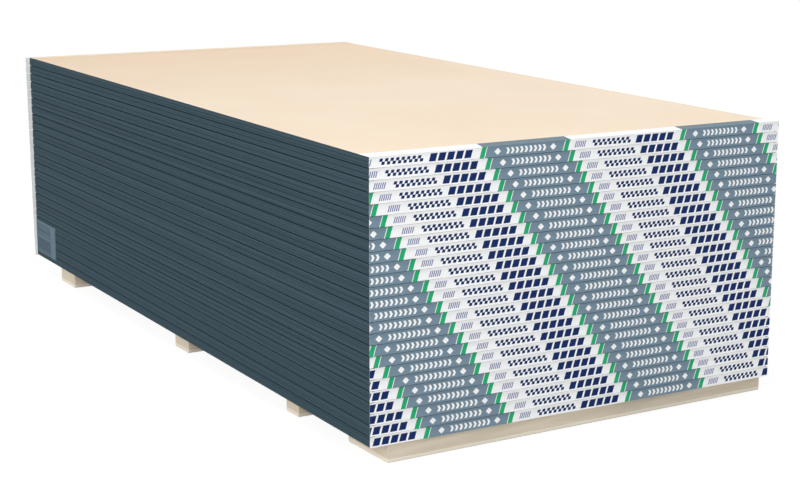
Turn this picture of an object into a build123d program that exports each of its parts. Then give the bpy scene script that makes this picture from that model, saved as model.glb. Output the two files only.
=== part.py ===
from build123d import *
import os

# A lift of drywall: sheets taped together in pairs, piled on four timber skids.
# X runs across the sheets, Y along them with the photographed end at -Y, and Z up.
# The origin is on the floor, under the middle of the lift. All sizes are millimetres.

# One sheet of half inch board, four feet by eight, with its two long edges tapered
# on the face side.
SHEET_WIDTH = 1219.2
SHEET_LENGTH = 2438.4
SHEET_THICKNESS = 12.7
TAPER_WIDTH = 50.0
TAPER_DEPTH = 0.51
BACK_EDGE_RADIUS = 1.2

# Two sheets lie face to face, and a folded paper tape at each end holds them together.
# The tape stands a little clear of the sheets' ends and lies flat on their backs.
PAIRS = 25
PAIR_GAP = 0.1
TAPE_THICKNESS = 0.65
TAPE_SLACK = 0.1
TAPE_END_SLACK = 1.0
TAPE_FOLD = 52.0
TAPE_FOLD_RADIUS = 0.5
TAPE_TAIL = 14.0
LAYER_GAP = 0.75

# Four timbers lie across the lift, each a little askew and each of its own width.
# A timber's place along the lift is its middle's distance from the end, or from the
# middle of the sheets, that it was set out from.
SKID_HEIGHT = 48.0
SKID_LENGTH = 1168.0
SKID_EDGE = 2.5
SEAT_GAP = 0.1
NEAR_END = -SHEET_LENGTH / 2
MIDDLE = 0.0
FAR_END = SHEET_LENGTH / 2
SKIDS = {
    "skid_1": {"width": 192.0, "across": 25.0, "along": NEAR_END + 116.5, "turn": 1.3},
    "skid_2": {"width": 70.0, "across": 2.4, "along": NEAR_END + 476.6, "turn": 0.8},
    "skid_3": {"width": 96.0, "across": -3.9, "along": MIDDLE - 20.0, "turn": 1.0},
    "skid_4": {"width": 130.0, "across": -16.7, "along": FAR_END - 285.3, "turn": 0.5},
}

# A thin label is stuck low down on the long side at -X, near the far end.
LABEL_LENGTH = 200.0
LABEL_HEIGHT = 113.0
LABEL_THICKNESS = 0.4
LABEL_SLACK = 0.1
LABEL_FROM_END = 1.5
LABEL_ABOVE_SKIDS = 15.0

# Heights that follow from the sizes above.
TAPE_REACH = TAPE_SLACK + TAPE_THICKNESS
PAIR_THICKNESS = 2 * SHEET_THICKNESS + PAIR_GAP
PITCH = PAIR_THICKNESS + 2 * TAPE_REACH + LAYER_GAP
LIFT_BOTTOM = SKID_HEIGHT + SEAT_GAP
HALF_WIDTH = SHEET_WIDTH / 2
HALF_LENGTH = SHEET_LENGTH / 2


def pair_bottom(pair):
    """Height of the underside of a pair's lower sheet, pair 0 being the lowest."""
    return LIFT_BOTTOM + TAPE_REACH + pair * PITCH


def sheet(bottom, face_up):
    """One board: flat back, tapered long edges on the face, back edges eased."""
    inner = HALF_WIDTH - TAPER_WIDTH
    edge_height = SHEET_THICKNESS - TAPER_DEPTH
    outline = [
        (-HALF_WIDTH, 0),
        (HALF_WIDTH, 0),
        (HALF_WIDTH, edge_height),
        (inner, SHEET_THICKNESS),
        (-inner, SHEET_THICKNESS),
        (-HALF_WIDTH, edge_height),
    ]
    with BuildPart() as board:
        with BuildSketch(Plane.XZ.offset(-HALF_LENGTH)):
            Polygon(*outline, align=None)
        extrude(amount=SHEET_LENGTH)
        back_edges = board.edges().filter_by(Axis.Y).group_by(Axis.Z)[0]
        fillet(back_edges, BACK_EDGE_RADIUS)
    if face_up:
        return board.part.moved(Location((0, 0, bottom)))
    turned = board.part.rotate(Axis.Y, 180)
    return turned.moved(Location((0, 0, bottom + SHEET_THICKNESS)))


def end_tape(bottom, tail):
    """A tape folded round the end of one pair at -Y, its wall longer by tail each side."""
    height = PAIR_THICKNESS + 2 * TAPE_REACH
    wall_y = -HALF_LENGTH - TAPE_END_SLACK - TAPE_THICKNESS
    fold_length = TAPE_THICKNESS + TAPE_END_SLACK + TAPE_FOLD
    with BuildPart() as tape:
        with Locations((0, wall_y, bottom - TAPE_REACH)):
            Box(
                SHEET_WIDTH + 2 * tail, TAPE_THICKNESS, height,
                align=(Align.CENTER, Align.MIN, Align.MIN),
            )
        for level in (bottom - TAPE_REACH, bottom + PAIR_THICKNESS + TAPE_SLACK):
            with Locations((0, wall_y, level)):
                Box(
                    SHEET_WIDTH, fold_length, TAPE_THICKNESS,
                    align=(Align.CENTER, Align.MIN, Align.MIN),
                )
        creases = tape.edges().filter_by(Axis.X).group_by(Axis.Y)[0]
        fillet(creases, TAPE_FOLD_RADIUS)
    return tape.part


def skid(size, top):
    """A sawn timber with its four long arrises eased."""
    with BuildPart() as timber:
        with Locations(Location((size["across"], size["along"], 0), (0, 0, size["turn"]))):
            Box(SKID_LENGTH, size["width"], top, align=(Align.CENTER, Align.CENTER, Align.MIN))
        long_edges = [edge for edge in timber.edges() if edge.length > SKID_LENGTH - 1]
        chamfer(long_edges, SKID_EDGE)
    return timber.part


def skid_top(size):
    """A timber under the folded tape is lower than one that meets the sheet itself."""
    reach = HALF_LENGTH - TAPE_FOLD
    near_side = abs(size["along"]) + size["width"] / 2
    if near_side > reach:
        return SKID_HEIGHT
    return pair_bottom(0) - SEAT_GAP


def label():
    """A thin card on the long side at -X."""
    centre_y = HALF_LENGTH - LABEL_FROM_END - LABEL_LENGTH / 2
    with BuildPart() as card:
        with Locations((-HALF_WIDTH - LABEL_SLACK, centre_y, LIFT_BOTTOM + LABEL_ABOVE_SKIDS)):
            Box(
                LABEL_THICKNESS, LABEL_LENGTH, LABEL_HEIGHT,
                align=(Align.MAX, Align.CENTER, Align.MIN),
            )
    return card.part


os.makedirs("parts", exist_ok=True)

for pair in range(PAIRS):
    lower = pair_bottom(pair)
    upper = lower + SHEET_THICKNESS + PAIR_GAP
    export_step(sheet(lower, True), f"parts/sheet_{2 * pair + 1:02d}.step")
    export_step(sheet(upper, False), f"parts/sheet_{2 * pair + 2:02d}.step")

front_tapes = [end_tape(pair_bottom(pair), 0) for pair in range(PAIRS)]
back_tapes = [
    end_tape(pair_bottom(pair), TAPE_TAIL).rotate(Axis.Z, 180) for pair in range(PAIRS)
]
export_step(Compound(children=front_tapes), "parts/end_tapes_front.step")
export_step(Compound(children=back_tapes), "parts/end_tapes_back.step")

for name, size in SKIDS.items():
    export_step(skid(size, skid_top(size)), f"parts/{name}.step")

export_step(label(), "parts/label.step")
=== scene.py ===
# %% [markdown]
# # A lift of drywall on skids
#
# Fifty sheets of half inch drywall lie face to face in twenty-five pairs. A printed
# paper tape is folded round each end of every pair, and the pile stands on four
# timbers. The sizes are already fixed by the solid model that is loaded below, so this
# file only gives the pieces their finish: paper, print, sawn wood and a thin label.

import math
import random

import bmesh
import bpy
from mathutils import Matrix, Quaternion, Vector


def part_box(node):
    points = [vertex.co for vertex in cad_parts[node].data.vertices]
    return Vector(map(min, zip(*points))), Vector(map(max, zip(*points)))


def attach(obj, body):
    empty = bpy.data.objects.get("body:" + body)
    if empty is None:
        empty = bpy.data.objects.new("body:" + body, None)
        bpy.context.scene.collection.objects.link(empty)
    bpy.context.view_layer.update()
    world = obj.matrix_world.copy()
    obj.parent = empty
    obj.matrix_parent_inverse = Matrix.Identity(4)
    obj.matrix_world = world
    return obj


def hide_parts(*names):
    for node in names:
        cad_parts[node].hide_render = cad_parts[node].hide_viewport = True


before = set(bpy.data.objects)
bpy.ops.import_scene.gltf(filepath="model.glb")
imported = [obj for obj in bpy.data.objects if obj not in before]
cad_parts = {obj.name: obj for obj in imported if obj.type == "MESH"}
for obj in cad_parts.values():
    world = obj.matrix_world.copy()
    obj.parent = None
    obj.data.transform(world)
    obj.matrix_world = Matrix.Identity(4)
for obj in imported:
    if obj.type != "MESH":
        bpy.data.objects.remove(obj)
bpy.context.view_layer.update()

# %% [markdown]
# ## The camera
#
# The lift is seen from a little above, off its printed end and to the left, so that the
# end, one long side and the top all show. The lens is long for the distance, which
# keeps the rows nearly parallel. A camera can be aimed by a constraint or by its
# rotation. Here the rotation is worked out once, from the direction it looks along,
# and then it is rolled by a hair because the level line in the picture is not quite flat.
# A small lens shift lets the upright edges meet those in the picture.

# %% Set up the camera
MM = 0.001
CAMERA_PLACE = Vector((-2.48460, -4.67161, 1.37807))
CAMERA_LOOKS = Vector((0.50231, 0.83876, -0.21017))
CAMERA_ROLL = math.radians(0.324)
CAMERA_LENS = 78.86
CAMERA_SHIFT = (-0.05163, -0.00417)

camera_data = bpy.data.cameras.new("camera")
camera = bpy.data.objects.new("camera", camera_data)
bpy.context.scene.collection.objects.link(camera)
camera_data.lens = CAMERA_LENS
camera_data.shift_x, camera_data.shift_y = CAMERA_SHIFT
camera.location = CAMERA_PLACE
camera.rotation_mode = "QUATERNION"
camera.rotation_quaternion = (
    CAMERA_LOOKS.to_track_quat("-Z", "Y") @ Quaternion((0, 0, 1), CAMERA_ROLL)
)
bpy.context.scene.camera = camera
print("camera stands at", tuple(CAMERA_PLACE))

# %% [markdown]
# ## Colours as they are seen
#
# A colour picker reads a screen colour with three numbers up to 255, and a shader wants
# light amounts between 0 and 1. This helper turns the one into the other.

# %% Turn a screen colour into a light amount
def shade(red, green, blue):
    """A screen colour, each number from 0 to 255, as a shader's colour."""
    def light(value):
        part = value / 255
        return part / 12.92 if part <= 0.04045 else ((part + 0.055) / 1.055) ** 2.4
    return (light(red), light(green), light(blue), 1)


# %% [markdown]
# ## A fresh material
#
# Every finish starts as one Principled shader. A texture coordinate in object space is
# added at once, because each pattern here is laid over the piece in its real size.

# %% Start a material
def new_material(name, colour, roughness=0.7, gloss=0.3):
    """A material with its shader set, and the nodes that patterns are hung on."""
    material = bpy.data.materials.new(name)
    material.use_nodes = True
    nodes = material.node_tree.nodes
    surface = nodes["Principled BSDF"]
    surface.inputs["Base Color"].default_value = colour
    surface.inputs["Roughness"].default_value = roughness
    surface.inputs["Specular IOR Level"].default_value = gloss
    place = nodes.new("ShaderNodeTexCoord")
    return material, surface, place


def noise_on(material, place, scale, stretch=(1, 1, 1), detail=4.0):
    """A noise that is read in the piece's own space, and stretched along an axis."""
    nodes, links = material.node_tree.nodes, material.node_tree.links
    mapping = nodes.new("ShaderNodeMapping")
    mapping.inputs["Scale"].default_value = stretch
    noise = nodes.new("ShaderNodeTexNoise")
    noise.inputs["Scale"].default_value = scale
    noise.inputs["Detail"].default_value = detail
    links.new(place.outputs["Object"], mapping.inputs["Vector"])
    links.new(mapping.outputs["Vector"], noise.inputs["Vector"])
    return noise


def span(material, source, low, high, into):
    """Spread a 0 to 1 pattern between two values, and feed it to a socket."""
    nodes, links = material.node_tree.nodes, material.node_tree.links
    spread = nodes.new("ShaderNodeMapRange")
    spread.inputs["From Min"].default_value = 0.3
    spread.inputs["From Max"].default_value = 0.7
    spread.inputs["To Min"].default_value = low
    spread.inputs["To Max"].default_value = high
    links.new(source, spread.inputs["Value"])
    links.new(spread.outputs["Result"], into)
    return spread


def raise_by(material, surface, source, depth, strength=1.0):
    """Let a pattern lift and sink the surface by about a depth in metres."""
    nodes, links = material.node_tree.nodes, material.node_tree.links
    bump = nodes.new("ShaderNodeBump")
    bump.inputs["Distance"].default_value = depth
    bump.inputs["Strength"].default_value = strength
    links.new(source, bump.inputs["Height"])
    links.new(bump.outputs["Normal"], surface.inputs["Normal"])
    return bump


# %% [markdown]
# ## Paper
#
# The back of a sheet, its dark face, and the tape are all paper, and paper is dull with
# a fine fibre. The fibre is a noise drawn out along the way the paper ran through the
# mill. It is kept in bump and roughness, so the colour stays as clean as it was printed.

# %% Make paper finishes
def paper(name, colour, along="Y", fibre=0.12 * MM, rough=(0.62, 0.8), scale=420, gloss=0.3):
    """A dull paper of one colour with a fine fibre in its bump and its sheen."""
    material, surface, place = new_material(name, colour, gloss=gloss)
    stretch = {"X": (0.12, 1, 1), "Y": (1, 0.12, 1)}[along]
    grain = noise_on(material, place, scale, stretch)
    span(material, grain.outputs["Fac"], rough[0], rough[1], surface.inputs["Roughness"])
    raise_by(material, surface, grain.outputs["Fac"], fibre)
    return material


BACK_PAPER = paper("back_paper", shade(243, 224, 200), gloss=0.05)
GYPSUM = paper("gypsum_core", shade(232, 228, 220), fibre=0.3 * MM, scale=900)
SIDE_SLATES = [
    paper("face_paper", shade(58, 76, 85), fibre=0.2 * MM, gloss=0.05),
    paper("face_paper_light", shade(63, 82, 91), fibre=0.2 * MM, gloss=0.05),
    paper("face_paper_dark", shade(53, 70, 79), fibre=0.2 * MM, gloss=0.05),
]

TAPE_WHITE = paper("tape_white", shade(250, 251, 252), along="X", gloss=0.1)
TAPE_SLATE = paper("tape_slate_ink", shade(121, 143, 159), along="X", gloss=0.1)
# Painted shade: a darker copy of the slate ink for the flaps, which face up and get more light than the
# wall.
TAPE_FLAP_SLATE_SHADED = paper("tape_slate_on_flap_painted_shade", shade(108, 128, 139), along="X", gloss=0.05)
TAPE_GREEN = paper("tape_green_ink", shade(38, 173, 114), along="X", gloss=0.1)
TAPE_NAVY = paper("tape_navy_ink", shade(22, 44, 98), along="X", gloss=0.1)
TAPE_TICKS = paper("tape_tick_ink", shade(118, 124, 166), along="X", gloss=0.1)
TAPE_CREAM = paper("tape_cream", shade(243, 221, 195), along="X", gloss=0.05)
TAPE_BACK = paper("tape_back", shade(250, 250, 249), along="X", rough=(0.75, 0.9))
print("papers made:", len(bpy.data.materials))

# %% [markdown]
# The top sheet's back is the largest plain surface to be seen, so it alone gets a colour
# pattern: a faint cloudiness and a few darker fibres, as recycled paper has. Its colour is
# also painted a little darker and browner towards the far end of the sheet, as painted
# shade where the light falls off.

# %% Colour the back of the top sheet
# Painted shade: how much darker and browner the far end of the top sheet is painted.
FAR_END_PAINTED_SHADE = (0.945, 0.885, 0.825, 1)


def paint_far_end_shade(material, place, colour_from, colour_to):
    """Paint shade on a colour: it turns slowly darker and browner towards the far end of the sheet."""
    nodes, links = material.node_tree.nodes, material.node_tree.links
    apart = nodes.new("ShaderNodeSeparateXYZ")
    along = nodes.new("ShaderNodeMapRange")
    along.inputs["From Min"].default_value = -0.1
    along.inputs["From Max"].default_value = 1.2
    far_shade = nodes.new("ShaderNodeMix")
    far_shade.data_type = "RGBA"
    far_shade.blend_type = "MULTIPLY"
    tone_in, shade_in = [socket for socket in far_shade.inputs if socket.type == "RGBA"]
    shade_in.default_value = FAR_END_PAINTED_SHADE
    links.new(place.outputs["Object"], apart.inputs["Vector"])
    links.new(apart.outputs["Y"], along.inputs["Value"])
    links.new(along.outputs["Result"], far_shade.inputs["Factor"])
    links.new(colour_from, tone_in)
    links.new(next(out for out in far_shade.outputs if out.type == "RGBA"), colour_to)


def mottled_back(name, light_cream, deep_cream):
    """Cream back paper with clouds and fibres in its colour, and painted shade towards the far end."""
    material, surface, place = new_material(name, light_cream, gloss=0.05)
    links = material.node_tree.links
    clouds = noise_on(material, place, 3.0, detail=3.0)
    fibres = noise_on(material, place, 260, (1, 0.1, 1))
    both = material.node_tree.nodes.new("ShaderNodeMix")
    both.data_type = "FLOAT"
    both.inputs["Factor"].default_value = 0.45
    links.new(clouds.outputs["Fac"], both.inputs["A"])
    links.new(fibres.outputs["Fac"], both.inputs["B"])
    tones = material.node_tree.nodes.new("ShaderNodeValToRGB")
    tones.color_ramp.elements[0].position = 0.35
    tones.color_ramp.elements[0].color = deep_cream
    tones.color_ramp.elements[1].position = 0.65
    tones.color_ramp.elements[1].color = light_cream
    links.new(both.outputs["Result"], tones.inputs["Fac"])
    # Painted shade: the colour turns darker and browner towards the far end.
    paint_far_end_shade(material, place, tones.outputs["Color"], surface.inputs["Base Color"])
    span(material, fibres.outputs["Fac"], 0.65, 0.82, surface.inputs["Roughness"])
    raise_by(material, surface, fibres.outputs["Fac"], 0.12 * MM)
    return material


TOP_BACK = mottled_back("back_paper_top", shade(245, 227, 204), shade(242, 222, 198))

# %% [markdown]
# ## Working in edit mode
#
# An operator acts on whatever is selected, so each step first clears the selection and
# then picks faces, edges or corners by their place. A cut is a bisect of the picked
# faces only, which leaves the rest of the piece whole.

# %% Pick and cut
HAIR = 0.02 * MM


def only(piece):
    """Make one piece the only selected one, and the active one."""
    bpy.ops.object.select_all(action="DESELECT")
    piece.select_set(True)
    bpy.context.view_layer.objects.active = piece


def edit(piece):
    """Open one piece in edit mode."""
    only(piece)
    bpy.ops.object.mode_set(mode="EDIT")


def close():
    """Leave edit mode."""
    bpy.ops.object.mode_set(mode="OBJECT")


def pick(piece, kind, test):
    """Select only the faces, edges or corners whose middle passes a test."""
    bpy.ops.mesh.select_mode(type=kind)
    bpy.ops.mesh.select_all(action="DESELECT")
    shape = bmesh.from_edit_mesh(piece.data)
    if kind == "FACE":
        found = [face for face in shape.faces if test(face.calc_center_median())]
    elif kind == "EDGE":
        found = [e for e in shape.edges if test((e.verts[0].co + e.verts[1].co) / 2)]
    else:
        found = [corner for corner in shape.verts if test(corner.co)]
    for part in found:
        part.select_set(True)
    bmesh.update_edit_mesh(piece.data)
    return len(found)


def cut(piece, point, normal, test=lambda middle: True, **drop):
    """Cut the picked faces along a plane, and drop one side if asked to."""
    pick(piece, "FACE", test)
    bpy.ops.mesh.bisect(plane_co=point, plane_no=normal, threshold=1e-6, **drop)


def copy_of(piece, name):
    """A copy of a piece with its own mesh."""
    twin = piece.copy()
    twin.data = piece.data.copy()
    twin.name = name
    bpy.context.scene.collection.objects.link(twin)
    return twin


def block(name, low, high):
    """A box between two corners, ready to be shaped."""
    bpy.ops.object.select_all(action="DESELECT")
    bpy.ops.mesh.primitive_cube_add(size=1, location=(low + high) / 2)
    piece = bpy.context.object
    piece.name = name
    piece.scale = high - low
    bpy.ops.object.transform_apply(location=True, rotation=True, scale=True)
    return piece


def finish_piece(piece, node_slot, *nodes):
    """Hang a piece on the solid model, in place of the nodes that it stands for."""
    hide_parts(*nodes)
    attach(piece, "root")


# %% [markdown]
# ## One sheet
#
# A sheet has a flat cream back and a dark face whose paper wraps round the long edges.
# On the face the two long edges are pressed thinner, which makes room for joint tape on
# a wall. The sheet starts as a box. Two lengthwise cuts set off the edge strips, the
# outer corners of the face are pushed down, and the long edges are rounded with bevels.
# The folded paper leaves a low ridge right at the edge of the face.
# Cuts across the sheet give the edge somewhere to bend, because no long edge is straight.
# The dark paper laps round onto the back by a finger's width, under the cream paper of
# the topmost sheet but bare on the others.

# %% Model the sheet
TAPER_WIDTH = 50 * MM
TAPER_DEPTH = 0.51 * MM
BACK_ROUNDING = 1.2 * MM
FACE_ROUNDING = 0.3 * MM
RIDGE_WIDTH = 3.5 * MM
RIDGE = 0.36 * MM
LAP_WIDTH = 16 * MM
STATIONS = 13

sheet_low, sheet_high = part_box("sheet_01")
HALF_WIDTH = sheet_high.x
HALF_LENGTH = sheet_high.y
THICKNESS = sheet_high.z - sheet_low.z


def at_long_edge(middle):
    """True for a place on either long edge."""
    return abs(middle.x) > HALF_WIDTH - HAIR


def model_sheet():
    """One sheet lying face up, at the place of the lowest one."""
    sheet = block("sheet_pattern", sheet_low, sheet_high)
    edit(sheet)
    for side in (-1, 1):
        cut(sheet, (side * (HALF_WIDTH - TAPER_WIDTH), 0, 0), (1, 0, 0))
        cut(sheet, (side * (HALF_WIDTH - LAP_WIDTH), 0, 0), (1, 0, 0),
            lambda m: m.z < sheet_low.z + HAIR)
    for station in range(1, STATIONS):
        cut(sheet, (0, -HALF_LENGTH + 2 * HALF_LENGTH * station / STATIONS, 0), (0, 1, 0))
    pick(sheet, "VERT", lambda m: at_long_edge(m) and m.z > sheet_high.z - HAIR)
    bpy.ops.transform.translate(value=(0, 0, -TAPER_DEPTH))
    for side in (-1, 1):
        cut(sheet, (side * (HALF_WIDTH - RIDGE_WIDTH), 0, 0), (1, 0, 0),
            lambda m: m.z > sheet_high.z - TAPER_DEPTH)
    pick(sheet, "VERT", lambda m: at_long_edge(m) and m.z > sheet_low.z + HAIR)
    bpy.ops.transform.translate(value=(0, 0, RIDGE))
    pick(sheet, "EDGE", lambda m: at_long_edge(m) and m.z < sheet_low.z + HAIR)
    bpy.ops.mesh.bevel(offset=BACK_ROUNDING, segments=3)
    edge_top = sheet_high.z - TAPER_DEPTH + RIDGE
    pick(sheet, "EDGE", lambda m: at_long_edge(m) and m.z > edge_top - HAIR)
    bpy.ops.mesh.bevel(offset=FACE_ROUNDING, segments=2)
    for share in (0.3, 0.5, 0.7):
        cut(sheet, (0, 0, sheet_low.z + THICKNESS * share), (0, 0, 1), at_long_edge)
    close()
    return sheet


SHEET_PAPERS = (BACK_PAPER, *SIDE_SLATES, GYPSUM, SIDE_SLATES[0])
BACK, CORE, LAP = 0, 4, 5


def paper_the_sheet(sheet):
    """Back paper below, face paper on the face and round the long edges, core at the ends."""
    for material in SHEET_PAPERS:
        sheet.data.materials.append(material)
    for face in sheet.data.polygons:
        if abs(face.center.y) > HALF_LENGTH - HAIR:
            face.material_index = CORE
        elif face.normal.z < -0.99:
            on_lap = abs(face.center.x) > HALF_WIDTH - LAP_WIDTH
            face.material_index = LAP if on_lap else BACK
        else:
            face.material_index = 1


sheet_pattern = model_sheet()
paper_the_sheet(sheet_pattern)
print("sheet pattern has", len(sheet_pattern.data.polygons), "faces")

# %% [markdown]
# ## Fifty sheets
#
# The pattern is copied fifty times. Every second copy is turned over, so that two faces
# meet. Real long edges wander by part of a millimetre and no two sheets took the slate
# colour alike, so each copy gets small inward shifts and its own bands of tone.

# %% Lay the pile
PAIRS = 25
SHEETS = 2 * PAIRS
EDGE_WANDER = 0.5 * MM
SHEET_SET_BACK = 0.5 * MM

chance = random.Random(25)


def shift_long_edges(sheet):
    """Move the long edges inwards a little, by another amount at each cut."""
    set_back = {side: chance.uniform(0, SHEET_SET_BACK) for side in (-1, 1)}
    wander = {
        (side, station): chance.uniform(0, EDGE_WANDER)
        for side in (-1, 1) for station in range(STATIONS + 1)
    }
    for corner in sheet.data.vertices:
        if abs(corner.co.x) > HALF_WIDTH - 2 * BACK_ROUNDING:
            side = 1 if corner.co.x > 0 else -1
            station = round((corner.co.y + HALF_LENGTH) / (2 * HALF_LENGTH) * STATIONS)
            corner.co.x -= side * (set_back[side] + wander[side, station])


def tone_long_edges(sheet, bottom):
    """Give each lengthwise band of the long edges its own tone of slate."""
    tones = {}
    for face in sheet.data.polygons:
        if face.material_index in (1, 2, 3) and abs(face.normal.x) > 0.5:
            side = face.center.x > 0
            band = round((face.center.z - bottom) / MM)
            if (side, band) not in tones:
                tones[side, band] = chance.choice((1, 1, 2, 3))
            face.material_index = tones[side, band]


def lay_sheet(number):
    """One sheet of the pile, counted from 1 at the bottom."""
    node = f"sheet_{number:02d}"
    low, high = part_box(node)
    sheet = copy_of(sheet_pattern, f"board_{number:02d}")
    sheet.data.transform(Matrix.Translation((0, 0, -sheet_low.z - THICKNESS / 2)))
    if number % 2 == 0:
        sheet.data.transform(Matrix.Rotation(math.pi, 4, "Y"))
    sheet.data.transform(Matrix.Translation((0, 0, (low.z + high.z) / 2)))
    shift_long_edges(sheet)
    tone_long_edges(sheet, low.z)
    if number == SHEETS:
        sheet.data.materials[BACK] = TOP_BACK
        sheet.data.materials[LAP] = TOP_BACK
    finish_piece(sheet, "board_paper", node)
    return sheet


sheets = [lay_sheet(number) for number in range(1, SHEETS + 1)]
bpy.data.objects.remove(sheet_pattern)
print("sheets laid:", len(sheets))

# %% [markdown]
# ## The print on a tape
#
# The tape is a long white strip with slate fields and green stripes at a slant. It is
# printed over and over at one repeat. It could be an image, but every shape here is a
# slanted bar, so the strip is cut along the edges of the print and each cell takes the
# paper of its colour. That keeps every edge sharp at any size. Between the fields stand
# plain marks: bars, staggered dashes, ticks, chevrons and diamonds.
#
# Distances along the strip are in millimetres from the start of a slate field, and
# heights are in millimetres from the lower crease.

# %% Set out the print
REPEAT = 595.5
SLATE_FIELD = 222.5
SLANT = 0.29
HAIRLINE = 2.0
GREEN_STRIPE = 13.0
BORDER = HAIRLINE + GREEN_STRIPE

tape_low, tape_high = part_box("end_tapes_front")
PITCH = (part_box("sheet_03")[0].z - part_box("sheet_01")[0].z) / MM
WALL = (tape_high.z - tape_low.z) / MM - (PAIRS - 1) * PITCH
FOLD = (tape_high.y + HALF_LENGTH) / MM
MIDDLE = WALL / 2
STRIP_SEAM = 248.0

TICKS = {"start": 256.0, "count": 6, "pitch": 5.4, "width": 3.0, "half_height": 8.0}
DASHES = {"start": 307.0, "count": 8, "pitch": 14.5, "width": 8.5, "half_height": 7.5}
BARS = {"start": 441.0, "count": 5, "pitch": 24.0, "width": 18.5, "half_height": 9.5}
CHEVRONS = {"start": 56.0, "count": 9, "pitch": 13.0, "width": 6.5, "half_height": 7.5}
CHEVRON_REACH = 0.55
DIAMONDS = {"middles": (32.0, 191.0), "half_width": 9.0, "half_height": 9.5}
DASH_STAGGER = DASHES["pitch"] / 2

LEVELS = (
    3.0,
    MIDDLE - BARS["half_height"],
    MIDDLE - DASHES["half_height"],
    MIDDLE - 4.5,
    MIDDLE,
    MIDDLE + 4.5,
    MIDDLE + DASHES["half_height"],
    MIDDLE + BARS["half_height"],
    WALL - 2.0,
)
print("tape wall", round(WALL, 2), "fold", round(FOLD, 2), "row pitch", round(PITCH, 2))

# %% [markdown]
# The colour of a place on the strip follows from the same numbers as the cuts do.

# %% Say what is printed where
def marks(run):
    """The starts of the marks in a run."""
    return [run["start"] + run["pitch"] * index for index in range(run["count"])]


def inside(along, run, shift=0.0):
    """True where a place along the strip is on one of a run's marks."""
    return any(start + shift < along < start + shift + run["width"] for start in marks(run))


def ink_at(place, height):
    """The paper at a place along the strip and a height over the lower crease."""
    up = height - MIDDLE
    along = (place - SLANT * up) % REPEAT
    on_wall = 0 < height < WALL
    off = abs(up)
    if along < SLATE_FIELD:
        upright = place % REPEAT
        for middle in DIAMONDS["middles"]:
            reach = off / DIAMONDS["half_height"] + abs(upright - middle) / DIAMONDS["half_width"]
            if on_wall and reach < 1:
                return TAPE_WHITE
        tip = upright - CHEVRON_REACH * (CHEVRONS["half_height"] - off)
        if on_wall and off < CHEVRONS["half_height"] and inside(tip, CHEVRONS):
            return TAPE_WHITE
        # On a flap the slate field takes the darker copy of the ink, as painted shade.
        return TAPE_SLATE if on_wall else TAPE_FLAP_SLATE_SHADED
    from_slate = min(along - SLATE_FIELD, REPEAT - along)
    # On a flap the slate border is the darker copy of the ink too, as painted shade.
    if not on_wall:
        return TAPE_FLAP_SLATE_SHADED if from_slate < BORDER else TAPE_WHITE
    if HAIRLINE < from_slate < BORDER:
        return TAPE_GREEN
    if off < BARS["half_height"] and inside(along, BARS):
        return TAPE_NAVY
    stagger = DASH_STAGGER if up < 0 else 0.0
    if off < DASHES["half_height"] and inside(along, DASHES, stagger):
        return TAPE_NAVY
    if off < DASHES["half_height"] and inside(along, TICKS):
        return TAPE_TICKS
    return TAPE_WHITE


# %% [markdown]
# The strip is one upright plane, as long as one repeat and as high as the tape is wide.
# It is cut level by level, then along the field edges, and then along the edges of each
# mark. A mark's cuts touch only the faces of its own band, so the rest stays simple.

# %% Cut one repeat of the strip
def slanted_cut(strip, along, test=lambda middle: True, **drop):
    """Cut along a print edge that leans like the fields do."""
    cut(strip, (along * MM, 0, MIDDLE * MM), (1, 0, -SLANT), test, **drop)


def band(first, last, low, high):
    """A test for faces between two places along the strip and two heights."""
    def test(middle):
        height = middle.z / MM
        along = middle.x / MM - SLANT * (height - MIDDLE)
        return first < along < last and low < height < high
    return test


def cut_run(strip, run, low, high, shift=0.0):
    """Cut both edges of every mark in a run."""
    reach = band(STRIP_SEAM - 1, REPEAT, low, high)
    for start in marks(run):
        for edge in (start, start + run["width"]):
            slanted_cut(strip, edge + shift, reach)


def cut_chevrons(strip):
    """Cut the chevrons' arms, which lean one way above the middle and the other below."""
    tip = CHEVRON_REACH * CHEVRONS["half_height"]
    half = CHEVRONS["half_height"]
    for low, high, lean in ((MIDDLE, MIDDLE + half, 1), (MIDDLE - half, MIDDLE, -1)):
        for start in marks(CHEVRONS):
            for edge in (start, start + CHEVRONS["width"]):
                cut(
                    strip, ((edge + tip + REPEAT) * MM, 0, MIDDLE * MM),
                    (1, 0, lean * CHEVRON_REACH),
                    band(REPEAT + 4, REPEAT + SLATE_FIELD - 4, low, high),
                )


def cut_diamonds(strip):
    """Cut the diamonds, each out of a cell of its own."""
    wide, tall = DIAMONDS["half_width"], DIAMONDS["half_height"]
    for middle_place in DIAMONDS["middles"]:
        centre = middle_place + REPEAT
        whole = band(centre - 60, centre + 60, MIDDLE - tall, MIDDLE + tall)
        for side in (-1, 1):
            cut(strip, ((centre + side * wide) * MM, 0, 0), (1, 0, 0), whole)
        for side in (-1, 1):
            for up in (-1, 1):
                low, high = sorted((MIDDLE, MIDDLE + up * tall))

                def in_cell(middle, centre=centre, low=low, high=high):
                    near = abs(middle.x / MM - centre) < wide
                    return near and low < middle.z / MM < high

                cut(
                    strip, ((centre + side * wide) * MM, 0, MIDDLE * MM),
                    (side * tall, 0, up * wide), in_cell,
                )


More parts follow.
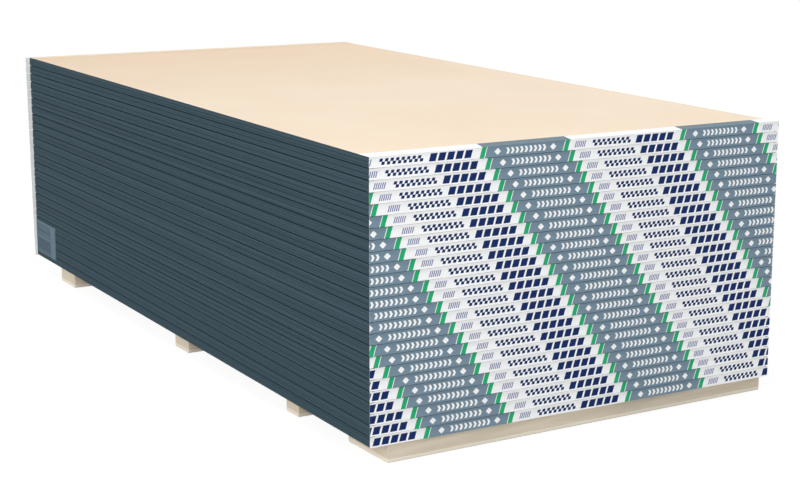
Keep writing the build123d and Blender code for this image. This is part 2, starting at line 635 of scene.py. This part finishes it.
def cut_strip():
    """One repeat of the flat strip, with a cut along each edge of its print."""
    bpy.ops.object.select_all(action="DESELECT")
    bpy.ops.mesh.primitive_plane_add(size=1, rotation=(math.radians(90), 0, 0))
    strip = bpy.context.object
    strip.name = "strip_pattern"
    strip.location = ((STRIP_SEAM + REPEAT / 2) * MM, 0, MIDDLE * MM)
    strip.scale = ((REPEAT + 100) * MM, (WALL + 2 * FOLD) * MM, 1)
    bpy.ops.object.transform_apply(location=True, rotation=True, scale=True)
    edit(strip)
    slanted_cut(strip, STRIP_SEAM, clear_inner=True)
    slanted_cut(strip, STRIP_SEAM + REPEAT, clear_outer=True)
    for level in (0.0, *LEVELS, WALL):
        cut(strip, (0, 0, level * MM), (0, 0, 1))
    on_wall = band(-REPEAT, 3 * REPEAT, 0, WALL)
    for edge, outward in ((REPEAT, -1), (REPEAT + SLATE_FIELD, 1)):
        slanted_cut(strip, edge + outward * BORDER)
        slanted_cut(strip, edge + outward * HAIRLINE, on_wall)
        slanted_cut(strip, edge, on_wall)
    dash, bar = DASHES["half_height"], BARS["half_height"]
    cut_run(strip, TICKS, MIDDLE - dash, MIDDLE + dash)
    cut_run(strip, DASHES, MIDDLE, MIDDLE + dash)
    cut_run(strip, DASHES, MIDDLE - dash, MIDDLE, DASH_STAGGER)
    cut_run(strip, BARS, MIDDLE - bar, MIDDLE + bar)
    cut_chevrons(strip)
    cut_diamonds(strip)
    close()
    return strip


strip_pattern = cut_strip()
print("strip has", len(strip_pattern.data.polygons), "faces")

# %% [markdown]
# Each cell now takes its paper. The plain back of the tape comes last in the list,
# because the wall thickness will be added on that side.

# %% Ink the strip
WALL_PAPERS = (TAPE_WHITE, TAPE_SLATE, TAPE_GREEN, TAPE_NAVY, TAPE_TICKS)
TAPE_PAPERS = (*WALL_PAPERS, TAPE_CREAM, TAPE_FLAP_SLATE_SHADED, TAPE_BACK)

for tape_paper in TAPE_PAPERS:
    strip_pattern.data.materials.append(tape_paper)
for cell in strip_pattern.data.polygons:
    ink = ink_at(cell.center.x / MM, cell.center.z / MM)
    cell.material_index = TAPE_PAPERS.index(ink)

# %% [markdown]
# The paper swells out towards the top of every row, over the edge of the upper sheet. A
# bump gives that swell, because the tape itself has barely a millimetre to move in. It
# starts afresh at the foot of each row, so the height is first folded into one pitch.

# %% Let the paper swell
SWELL = 3.0 * MM
SWELL_FROM = 11.0


def swell(material):
    """Put the swell underneath the fibre that the paper already has."""
    nodes, links = material.node_tree.nodes, material.node_tree.links
    place = nodes["Texture Coordinate"]
    apart = nodes.new("ShaderNodeSeparateXYZ")
    rows = nodes.new("ShaderNodeMath")
    rows.operation = "MULTIPLY_ADD"
    rows.inputs[1].default_value = 1 / (PITCH * MM)
    rows.inputs[2].default_value = -tape_low.z / (PITCH * MM)
    within = nodes.new("ShaderNodeMath")
    within.operation = "FRACT"
    over = nodes.new("ShaderNodeMapRange")
    over.inputs["From Min"].default_value = SWELL_FROM / PITCH
    over.inputs["From Max"].default_value = WALL / PITCH
    square = nodes.new("ShaderNodeMath")
    square.operation = "POWER"
    square.inputs[1].default_value = 2.0
    bump = nodes.new("ShaderNodeBump")
    bump.inputs["Distance"].default_value = SWELL
    links.new(place.outputs["Object"], apart.inputs["Vector"])
    links.new(apart.outputs["Z"], rows.inputs[0])
    links.new(rows.outputs["Value"], within.inputs[0])
    links.new(within.outputs["Value"], over.inputs["Value"])
    links.new(over.outputs["Result"], square.inputs[0])
    links.new(square.outputs["Value"], bump.inputs["Height"])
    links.new(bump.outputs["Normal"], nodes["Bump"].inputs["Normal"])


for tape_paper in WALL_PAPERS:
    swell(tape_paper)

# %% [markdown]
# ## Folding the tape
#
# The strip's upper and lower parts are turned back round two creases, which leaves a
# wall with two flaps. The wall is not flat: paper stretched over two board ends stands
# upright in its lower half and leans out over the upper one, so its top is in shade.
# Each level of corners is moved back by its own small depth, and the creases are rounded
# with a bevel.

# %% Fold one repeat
CREASE = 0.7 * MM
LEAN = 1.1


def depth_at(height):
    """How far back the wall stands at a height, in millimetres."""
    over = max(0.0, height - MIDDLE) / (WALL - MIDDLE)
    return LEAN * (1 - over * over)


def set_back_levels(strip):
    """Move every level of the wall back by its own depth."""
    for level in (0.0, *LEVELS, WALL):
        pick(strip, "VERT", lambda m, z=level * MM: abs(m.z - z) < HAIR)
        bpy.ops.transform.translate(value=(0, depth_at(level) * MM, 0))


def fold_strip(strip):
    """Turn both flaps back, and round the creases."""
    edit(strip)
    set_back_levels(strip)
    for crease, turn, depth in (
        (WALL * MM, 90, depth_at(WALL) * MM),
        (0.0, -90, depth_at(0.0) * MM),
    ):
        beyond = (lambda m: m.z > WALL * MM + HAIR) if crease else (lambda m: m.z < -HAIR)
        pick(strip, "VERT", beyond)
        bpy.ops.transform.translate(value=(0, depth, 0))
        bpy.ops.transform.rotate(
            value=math.radians(turn), orient_axis="X", center_override=(0, depth, crease)
        )
    pick(strip, "EDGE", lambda m: min(abs(m.z), abs(m.z - WALL * MM)) < HAIR and m.y < 2 * MM)
    bpy.ops.mesh.bevel(offset=CREASE, segments=3)
    close()
    heights = [corner.co.z / MM for corner in strip.data.vertices]
    depths = [corner.co.y / MM for corner in strip.data.vertices]
    print("folded strip", [round(v, 2) for v in (min(heights), max(heights), min(depths), max(depths))])


fold_strip(strip_pattern)

# %% [markdown]
# ## Twenty-five tapes at each end
#
# Every pair was taped with the print at another place, a little further along from row
# to row, and that is what makes the fields climb across the pile as slanted columns.
# A tape is four repeats of the pattern, slid to its row's place, cut to length and given
# its thickness. The far tapes were torn off longer, and their tails stand out at the
# sides.

# %% Make the rows of tape
TOP_ROW_START = -295.1
ROW_STEPS = (15.1, 22.1)
SPLICES = (11.0, 1.5)
TURN_ROW = 16
REPEATS = 4
PAPER = 0.45 * MM
ROW_WANDER = 0.6
FLAP_INSET = 14 * MM
WAVE = 0.07 * MM
TAIL_LOSS = 0.35


def of_two(choices, row):
    """Two sizes that take turns from row to row, and change places once, low down."""
    return choices[(row + (row >= TURN_ROW)) % 2]


def slate_start(row):
    """Where the slate field starts in a row, counted from 0 at the top."""
    return TOP_ROW_START + sum(of_two(ROW_STEPS, index) for index in range(row))


def splice_left(tape, start, extra):
    """Push the print on the left outwards, where the tape was spliced."""
    for corner in tape.data.vertices:
        along, back, up = (part / MM for part in corner.co)
        height = up + back if up > MIDDLE else up - back
        along -= SLANT * (height - MIDDLE) + start
        if along < STRIP_SEAM - REPEAT - 3:
            corner.co.x -= extra * MM


def wave_wall(tape):
    """Let the wall of the tape wander in and out along its length."""
    phase = chance.uniform(0, 2 * math.pi)
    length = chance.uniform(120, 260) * MM
    for corner in tape.data.vertices:
        if corner.co.y < 2 * MM:
            wave = 0.5 + 0.5 * math.sin(phase + 2 * math.pi * corner.co.x / length)
            height = corner.co.z / (WALL * MM)
            corner.co.y += WAVE * wave * max(0.0, 4 * height * (1 - height))


def narrow_flap(tape, upper, half):
    """Trim one flap to a half width of its own."""
    def on_flap(middle):
        return middle.y > 4 * MM and (middle.z > MIDDLE * MM) == upper

    for side in (-1, 1):
        cut(tape, (side * half, 0, 0), (1, 0, 0), on_flap)
    pick(tape, "FACE", lambda m: on_flap(m) and abs(m.x) > half)
    bpy.ops.mesh.delete(type="FACE")


def make_tape(name, row, wall_half):
    """One tape with its outer face at y 0 and its lower crease at z 0."""
    tape = copy_of(strip_pattern, name)
    only(tape)
    rows = tape.modifiers.new("repeats", "ARRAY")
    rows.use_relative_offset = False
    rows.use_constant_offset = True
    rows.constant_offset_displace = (REPEAT * MM, 0, 0)
    rows.count = REPEATS
    rows.use_merge_vertices = True
    rows.merge_threshold = HAIR
    bpy.ops.object.modifier_apply(modifier="repeats")
    start = slate_start(row) + chance.uniform(-ROW_WANDER, ROW_WANDER)
    tape.data.transform(Matrix.Translation(((start - 2 * REPEAT) * MM, 0, 0)))
    splice_left(tape, start, of_two(SPLICES, row))
    edit(tape)
    for side, drop in ((-1, "clear_inner"), (1, "clear_outer")):
        cut(tape, (side * wall_half, 0, 0), (1, 0, 0), **{drop: True})
    narrow_flap(tape, True, HALF_WIDTH - (FLAP_INSET if row else HAIR))
    narrow_flap(tape, False, HALF_WIDTH - FLAP_INSET)
    close()
    wave_wall(tape)
    thick = tape.modifiers.new("paper", "SOLIDIFY")
    thick.thickness = PAPER
    thick.offset = -1
    thick.use_even_offset = True
    thick.material_offset = len(TAPE_PAPERS)
    thick.material_offset_rim = len(TAPE_PAPERS)
    only(tape)
    bpy.ops.object.modifier_apply(modifier="paper")
    return tape


def cream_top_flap(tape):
    """Let the upper flap pass for back paper, as it does at the far end."""
    for face in tape.data.polygons:
        if face.normal.z > 0.9 and face.center.z > MIDDLE * MM:
            face.material_index = TAPE_PAPERS.index(TAPE_CREAM)


def tail_share(row):
    """How much of the full tail a row keeps: the lower ones were torn off shorter."""
    return 1 - TAIL_LOSS * row / (PAIRS - 1)


def join(pieces, name):
    """Several pieces as one."""
    bpy.ops.object.select_all(action="DESELECT")
    for piece in pieces:
        piece.select_set(True)
    bpy.context.view_layer.objects.active = pieces[0]
    bpy.ops.object.join()
    pieces[0].name = name
    return pieces[0]


def end_of_tapes(name, node, back, tail):
    """All the tapes of one end as one piece."""
    low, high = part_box(node)
    tapes = []
    for row in range(PAIRS):
        tape = make_tape(f"{name}_{row:02d}", row, HALF_WIDTH + tail * tail_share(row))
        if back and row == 0:
            cream_top_flap(tape)
        lift = low.z + (PAIRS - 1 - row) * PITCH * MM
        tape.data.transform(Matrix.Translation((0, tape_low.y, lift)))
        if back:
            tape.data.transform(Matrix.Rotation(math.pi, 4, "Z"))
        tapes.append(tape)
    return join(tapes, name)


far_low, far_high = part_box("end_tapes_back")
TAIL = far_high.x - HALF_WIDTH
near_tapes = end_of_tapes("tapes_near", "end_tapes_front", False, 0.0)
far_tapes = end_of_tapes("tapes_far", "end_tapes_back", True, TAIL)
bpy.data.objects.remove(strip_pattern)
for tapes, tape_node in ((near_tapes, "end_tapes_front"), (far_tapes, "end_tapes_back")):
    finish_piece(tapes, "end_tape", tape_node)
    tapes.data.calc_loop_triangles()
    print(tapes.name, "has", len(tapes.data.loop_triangles), "triangles")

# %% [markdown]
# ## Sawn timber
#
# The skids are sawn softwood. Their solids already have the right size, so they stay and
# only take a wood finish. The growth rings are one pattern that runs through the timber
# and is stretched along it, so it comes out as rings on the ends and lines on the sides.

# %% Finish the skids
FOOT_HEIGHT = 10 * MM
WOOD_FOOT = shade(242, 233, 216)


def foot_band(material, place):
    """A 0 to 1 pattern that is 1 in the lowest centimetre of a timber."""
    nodes, links = material.node_tree.nodes, material.node_tree.links
    apart = nodes.new("ShaderNodeSeparateXYZ")
    wander = noise_on(material, place, 12, (1, 1, 0.1), detail=2.0)
    level = nodes.new("ShaderNodeMath")
    level.operation = "MULTIPLY_ADD"
    level.inputs[1].default_value = 4 * MM
    edge = nodes.new("ShaderNodeMapRange")
    edge.inputs["From Min"].default_value = FOOT_HEIGHT + 1 * MM
    edge.inputs["From Max"].default_value = FOOT_HEIGHT + 3 * MM
    edge.inputs["To Min"].default_value = 1.0
    edge.inputs["To Max"].default_value = 0.0
    links.new(place.outputs["Object"], apart.inputs["Vector"])
    links.new(wander.outputs["Fac"], level.inputs[0])
    links.new(apart.outputs["Z"], level.inputs[2])
    links.new(level.outputs["Value"], edge.inputs["Value"])
    return edge.outputs["Result"]


def sawn_wood(name, pale, deep, offset):
    """Pale sawn timber with its grain along X."""
    material, surface, place = new_material(name, pale, gloss=0.2)
    nodes, links = material.node_tree.nodes, material.node_tree.links
    mapping = nodes.new("ShaderNodeMapping")
    mapping.inputs["Location"].default_value = offset
    mapping.inputs["Scale"].default_value = (0.04, 1, 1)
    rings = nodes.new("ShaderNodeTexWave")
    rings.wave_type = "RINGS"
    rings.rings_direction = "X"
    rings.inputs["Scale"].default_value = 34
    rings.inputs["Distortion"].default_value = 5
    rings.inputs["Detail"].default_value = 3
    rings.inputs["Detail Scale"].default_value = 1.5
    links.new(place.outputs["Object"], mapping.inputs["Vector"])
    links.new(mapping.outputs["Vector"], rings.inputs["Vector"])
    tones = nodes.new("ShaderNodeValToRGB")
    tones.color_ramp.elements[0].color = deep
    tones.color_ramp.elements[1].color = pale
    links.new(rings.outputs["Color"], tones.inputs["Fac"])
    foot = nodes.new("ShaderNodeMix")
    foot.data_type = "RGBA"
    wood_in, foot_in = [socket for socket in foot.inputs if socket.type == "RGBA"]
    mixed = next(socket for socket in foot.outputs if socket.type == "RGBA")
    foot_in.default_value = WOOD_FOOT
    links.new(foot_band(material, place), foot.inputs["Factor"])
    links.new(tones.outputs["Color"], wood_in)
    links.new(mixed, surface.inputs["Base Color"])
    saw = noise_on(material, place, 300, (0.08, 1, 1))
    span(material, saw.outputs["Fac"], 0.7, 0.9, surface.inputs["Roughness"])
    raise_by(material, surface, saw.outputs["Fac"], 0.4 * MM)
    return material


for index in range(1, 5):
    wood = sawn_wood(
        f"skid_wood_{index}", shade(225, 213, 193), shade(217, 204, 183),
        (0.3 * index, 0.11 * index, 0.07 * index),
    )
    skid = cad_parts[f"skid_{index}"]
    skid.data.materials.clear()
    skid.data.materials.append(wood)

# %% [markdown]
# ## The label
#
# A thin bluish label is stuck low on the long side. It is a grid of small faces rather
# than one flat card, so that it can follow the joints between the sheets behind it.

# %% Make the label
LABEL_PAPERS = [
    paper("label_blue", shade(80, 101, 111), rough=(0.5, 0.65), gloss=0.1),
    paper("label_panel", shade(66, 85, 98), rough=(0.5, 0.65), gloss=0.1),
    paper("label_line", shade(94, 117, 130), rough=(0.5, 0.65), gloss=0.1),
]
label_low, label_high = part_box("label")


def label_paper(along, up):
    """Which of the label's papers is at a place, counted from its near lower corner."""
    if up > 0.94 or 0.06 < along < 0.26 or 0.50 < up < 0.54:
        return 2
    if 0.3 < along < 0.92 and (0.12 < up < 0.46 or 0.68 < up < 0.76):
        return 1
    return 0


def make_label():
    """A thin card that sags into the joints between the sheets."""
    size = label_high - label_low
    label = block("label_card", label_low, label_high)
    edit(label)
    for step in range(1, 50):
        cut(label, (0, label_low.y + size.y * step / 50, 0), (0, 1, 0))
    for step in range(1, 32):
        cut(label, (0, 0, label_low.z + size.z * step / 32), (0, 0, 1))
    close()
    for corner in label.data.vertices:
        row = (corner.co.z - tape_low.z) / (PITCH * MM)
        joint = math.cos(2 * math.pi * row)
        corner.co.x += 0.04 * MM * max(0.0, joint) ** 6 if corner.co.x > label_high.x - HAIR else 0
    for label_kind in LABEL_PAPERS:
        label.data.materials.append(label_kind)
    for face in label.data.polygons:
        along = (face.center.y - label_low.y) / size.y
        up = (face.center.z - label_low.z) / size.z
        face.material_index = label_paper(along, up)
    finish_piece(label, "label_film", "label")
    return label


make_label()

# %% [markdown]
# ## Floor and light
#
# The lift stands on a pale floor in an even studio light. A wide sun is the key light,
# because it lights near and far alike. Low ones from the left and the front reach under
# the pile to the skids, and another from behind does the same for the two sides that the
# camera doesn't see. A soft box near the camera makes the near left corner a touch
# brighter. The sky fills in the rest. The eye sees the floor and the sky as white,
# and the rays that carry light see a middle grey floor, so the white ground does not
# light the pile from below.

# %% Lay the floor
FLOOR_HALF = 60.0
FLOOR_GLOW = 0.92
FLOOR_TONE = 0.12
FLOOR_BOUNCE = 0.60


def sight_rays(nodes, links):
    """1 for the rays that things are seen by: straight, in a mirror or through glass."""
    path = nodes.new("ShaderNodeLightPath")
    indirect = nodes.new("ShaderNodeMath")
    indirect.operation = "MAXIMUM"
    sight = nodes.new("ShaderNodeMath")
    sight.operation = "MAXIMUM"
    links.new(path.outputs["Is Glossy Ray"], indirect.inputs[0])
    links.new(path.outputs["Is Transmission Ray"], indirect.inputs[1])
    links.new(path.outputs["Is Camera Ray"], sight.inputs[0])
    links.new(indirect.outputs["Value"], sight.inputs[1])
    return sight.outputs["Value"]


def floor_material():
    """White to the eye with the shadow kept, and grey to all other rays."""
    material = bpy.data.materials.new("studio_floor")
    material.use_nodes = True
    nodes, links = material.node_tree.nodes, material.node_tree.links
    nodes.remove(nodes["Principled BSDF"])
    output = nodes["Material Output"]
    bounce = nodes.new("ShaderNodeBsdfDiffuse")
    bounce.inputs["Color"].default_value = (FLOOR_BOUNCE, FLOOR_BOUNCE, FLOOR_BOUNCE, 1)
    tone = nodes.new("ShaderNodeBsdfDiffuse")
    tone.inputs["Color"].default_value = (FLOOR_TONE, FLOOR_TONE, FLOOR_TONE, 1)
    glow = nodes.new("ShaderNodeEmission")
    glow.inputs["Strength"].default_value = FLOOR_GLOW
    seen = nodes.new("ShaderNodeAddShader")
    mix = nodes.new("ShaderNodeMixShader")
    links.new(tone.outputs["BSDF"], seen.inputs[0])
    links.new(glow.outputs["Emission"], seen.inputs[1])
    links.new(sight_rays(nodes, links), mix.inputs["Fac"])
    links.new(bounce.outputs["BSDF"], mix.inputs[1])
    links.new(seen.outputs["Shader"], mix.inputs[2])
    links.new(mix.outputs["Shader"], output.inputs["Surface"])
    return material


bpy.ops.object.select_all(action="DESELECT")
bpy.ops.mesh.primitive_plane_add(size=2 * FLOOR_HALF, location=(0, 0, 0))
floor = bpy.context.object
floor.name = "studio_floor"
floor.data.materials.append(floor_material())

# %% Light the studio
SKY = 0.31
KEY = 1.0
KEY_SPREAD = math.radians(30)
KEY_FROM = Vector((-0.06, -0.01, 0.50))
FRONT = 0.43
FRONT_SPREAD = math.radians(20)
FRONT_FROM = Vector((-0.03, -0.30, 0.04))
FILL = 1.85
FILL_SPREAD = math.radians(60)
FILL_FROM = Vector((-0.20, -0.07, 0.05))
REAR = 1.75
REAR_SPREAD = math.radians(60)
REAR_FROM = Vector((0.24, 0.22, 0.05))
BOX_POWER = 19.0
BOX_SIZE = 1.6
BOX_PLACE = Vector((-1.8, -2.9, 1.8))

world = bpy.data.worlds.new("studio_sky")
bpy.context.scene.world = world
world.use_nodes = True
world_nodes, world_links = world.node_tree.nodes, world.node_tree.links
sky_light = world_nodes["Background"]
sky_light.inputs["Color"].default_value = (1, 1, 1, 1)
sky_light.inputs["Strength"].default_value = SKY
sky_seen = world_nodes.new("ShaderNodeBackground")
sky_seen.inputs["Color"].default_value = (1, 1, 1, 1)
sky_seen.inputs["Strength"].default_value = 1.0
sky_mix = world_nodes.new("ShaderNodeMixShader")
world_links.new(sight_rays(world_nodes, world_links), sky_mix.inputs["Fac"])
world_links.new(sky_light.outputs["Background"], sky_mix.inputs[1])
world_links.new(sky_seen.outputs["Background"], sky_mix.inputs[2])
world_links.new(sky_mix.outputs["Shader"], world_nodes["World Output"].inputs["Surface"])


def aim(lamp, direction):
    """Point a lamp so that its light comes from a direction."""
    lamp.rotation_mode = "QUATERNION"
    lamp.rotation_quaternion = direction.to_track_quat("Z", "Y")


def add_sun(name, energy, spread, direction):
    """A distant light, softer the wider it spreads."""
    bpy.ops.object.light_add(type="SUN")
    sun = bpy.context.object
    sun.name = name
    sun.data.energy = energy
    sun.data.angle = spread
    aim(sun, direction)


add_sun("key_sun", KEY, KEY_SPREAD, KEY_FROM)
add_sun("front_sun", FRONT, FRONT_SPREAD, FRONT_FROM)
add_sun("fill_sun", FILL, FILL_SPREAD, FILL_FROM)
add_sun("rear_sun", REAR, REAR_SPREAD, REAR_FROM)

bpy.ops.object.light_add(type="AREA", location=BOX_PLACE)
soft_box = bpy.context.object
soft_box.name = "soft_box"
soft_box.data.energy = BOX_POWER
soft_box.data.size = BOX_SIZE
aim(soft_box, BOX_PLACE - Vector((0, -0.6, 0.6)))

bpy.context.scene.view_settings.view_transform = "Standard"

# %% [markdown]
# ## Finish
#
# The view layer is brought up to date at the end. The finished lift has to stay inside
# the solid model.

# %% Finish
bpy.context.view_layer.update()
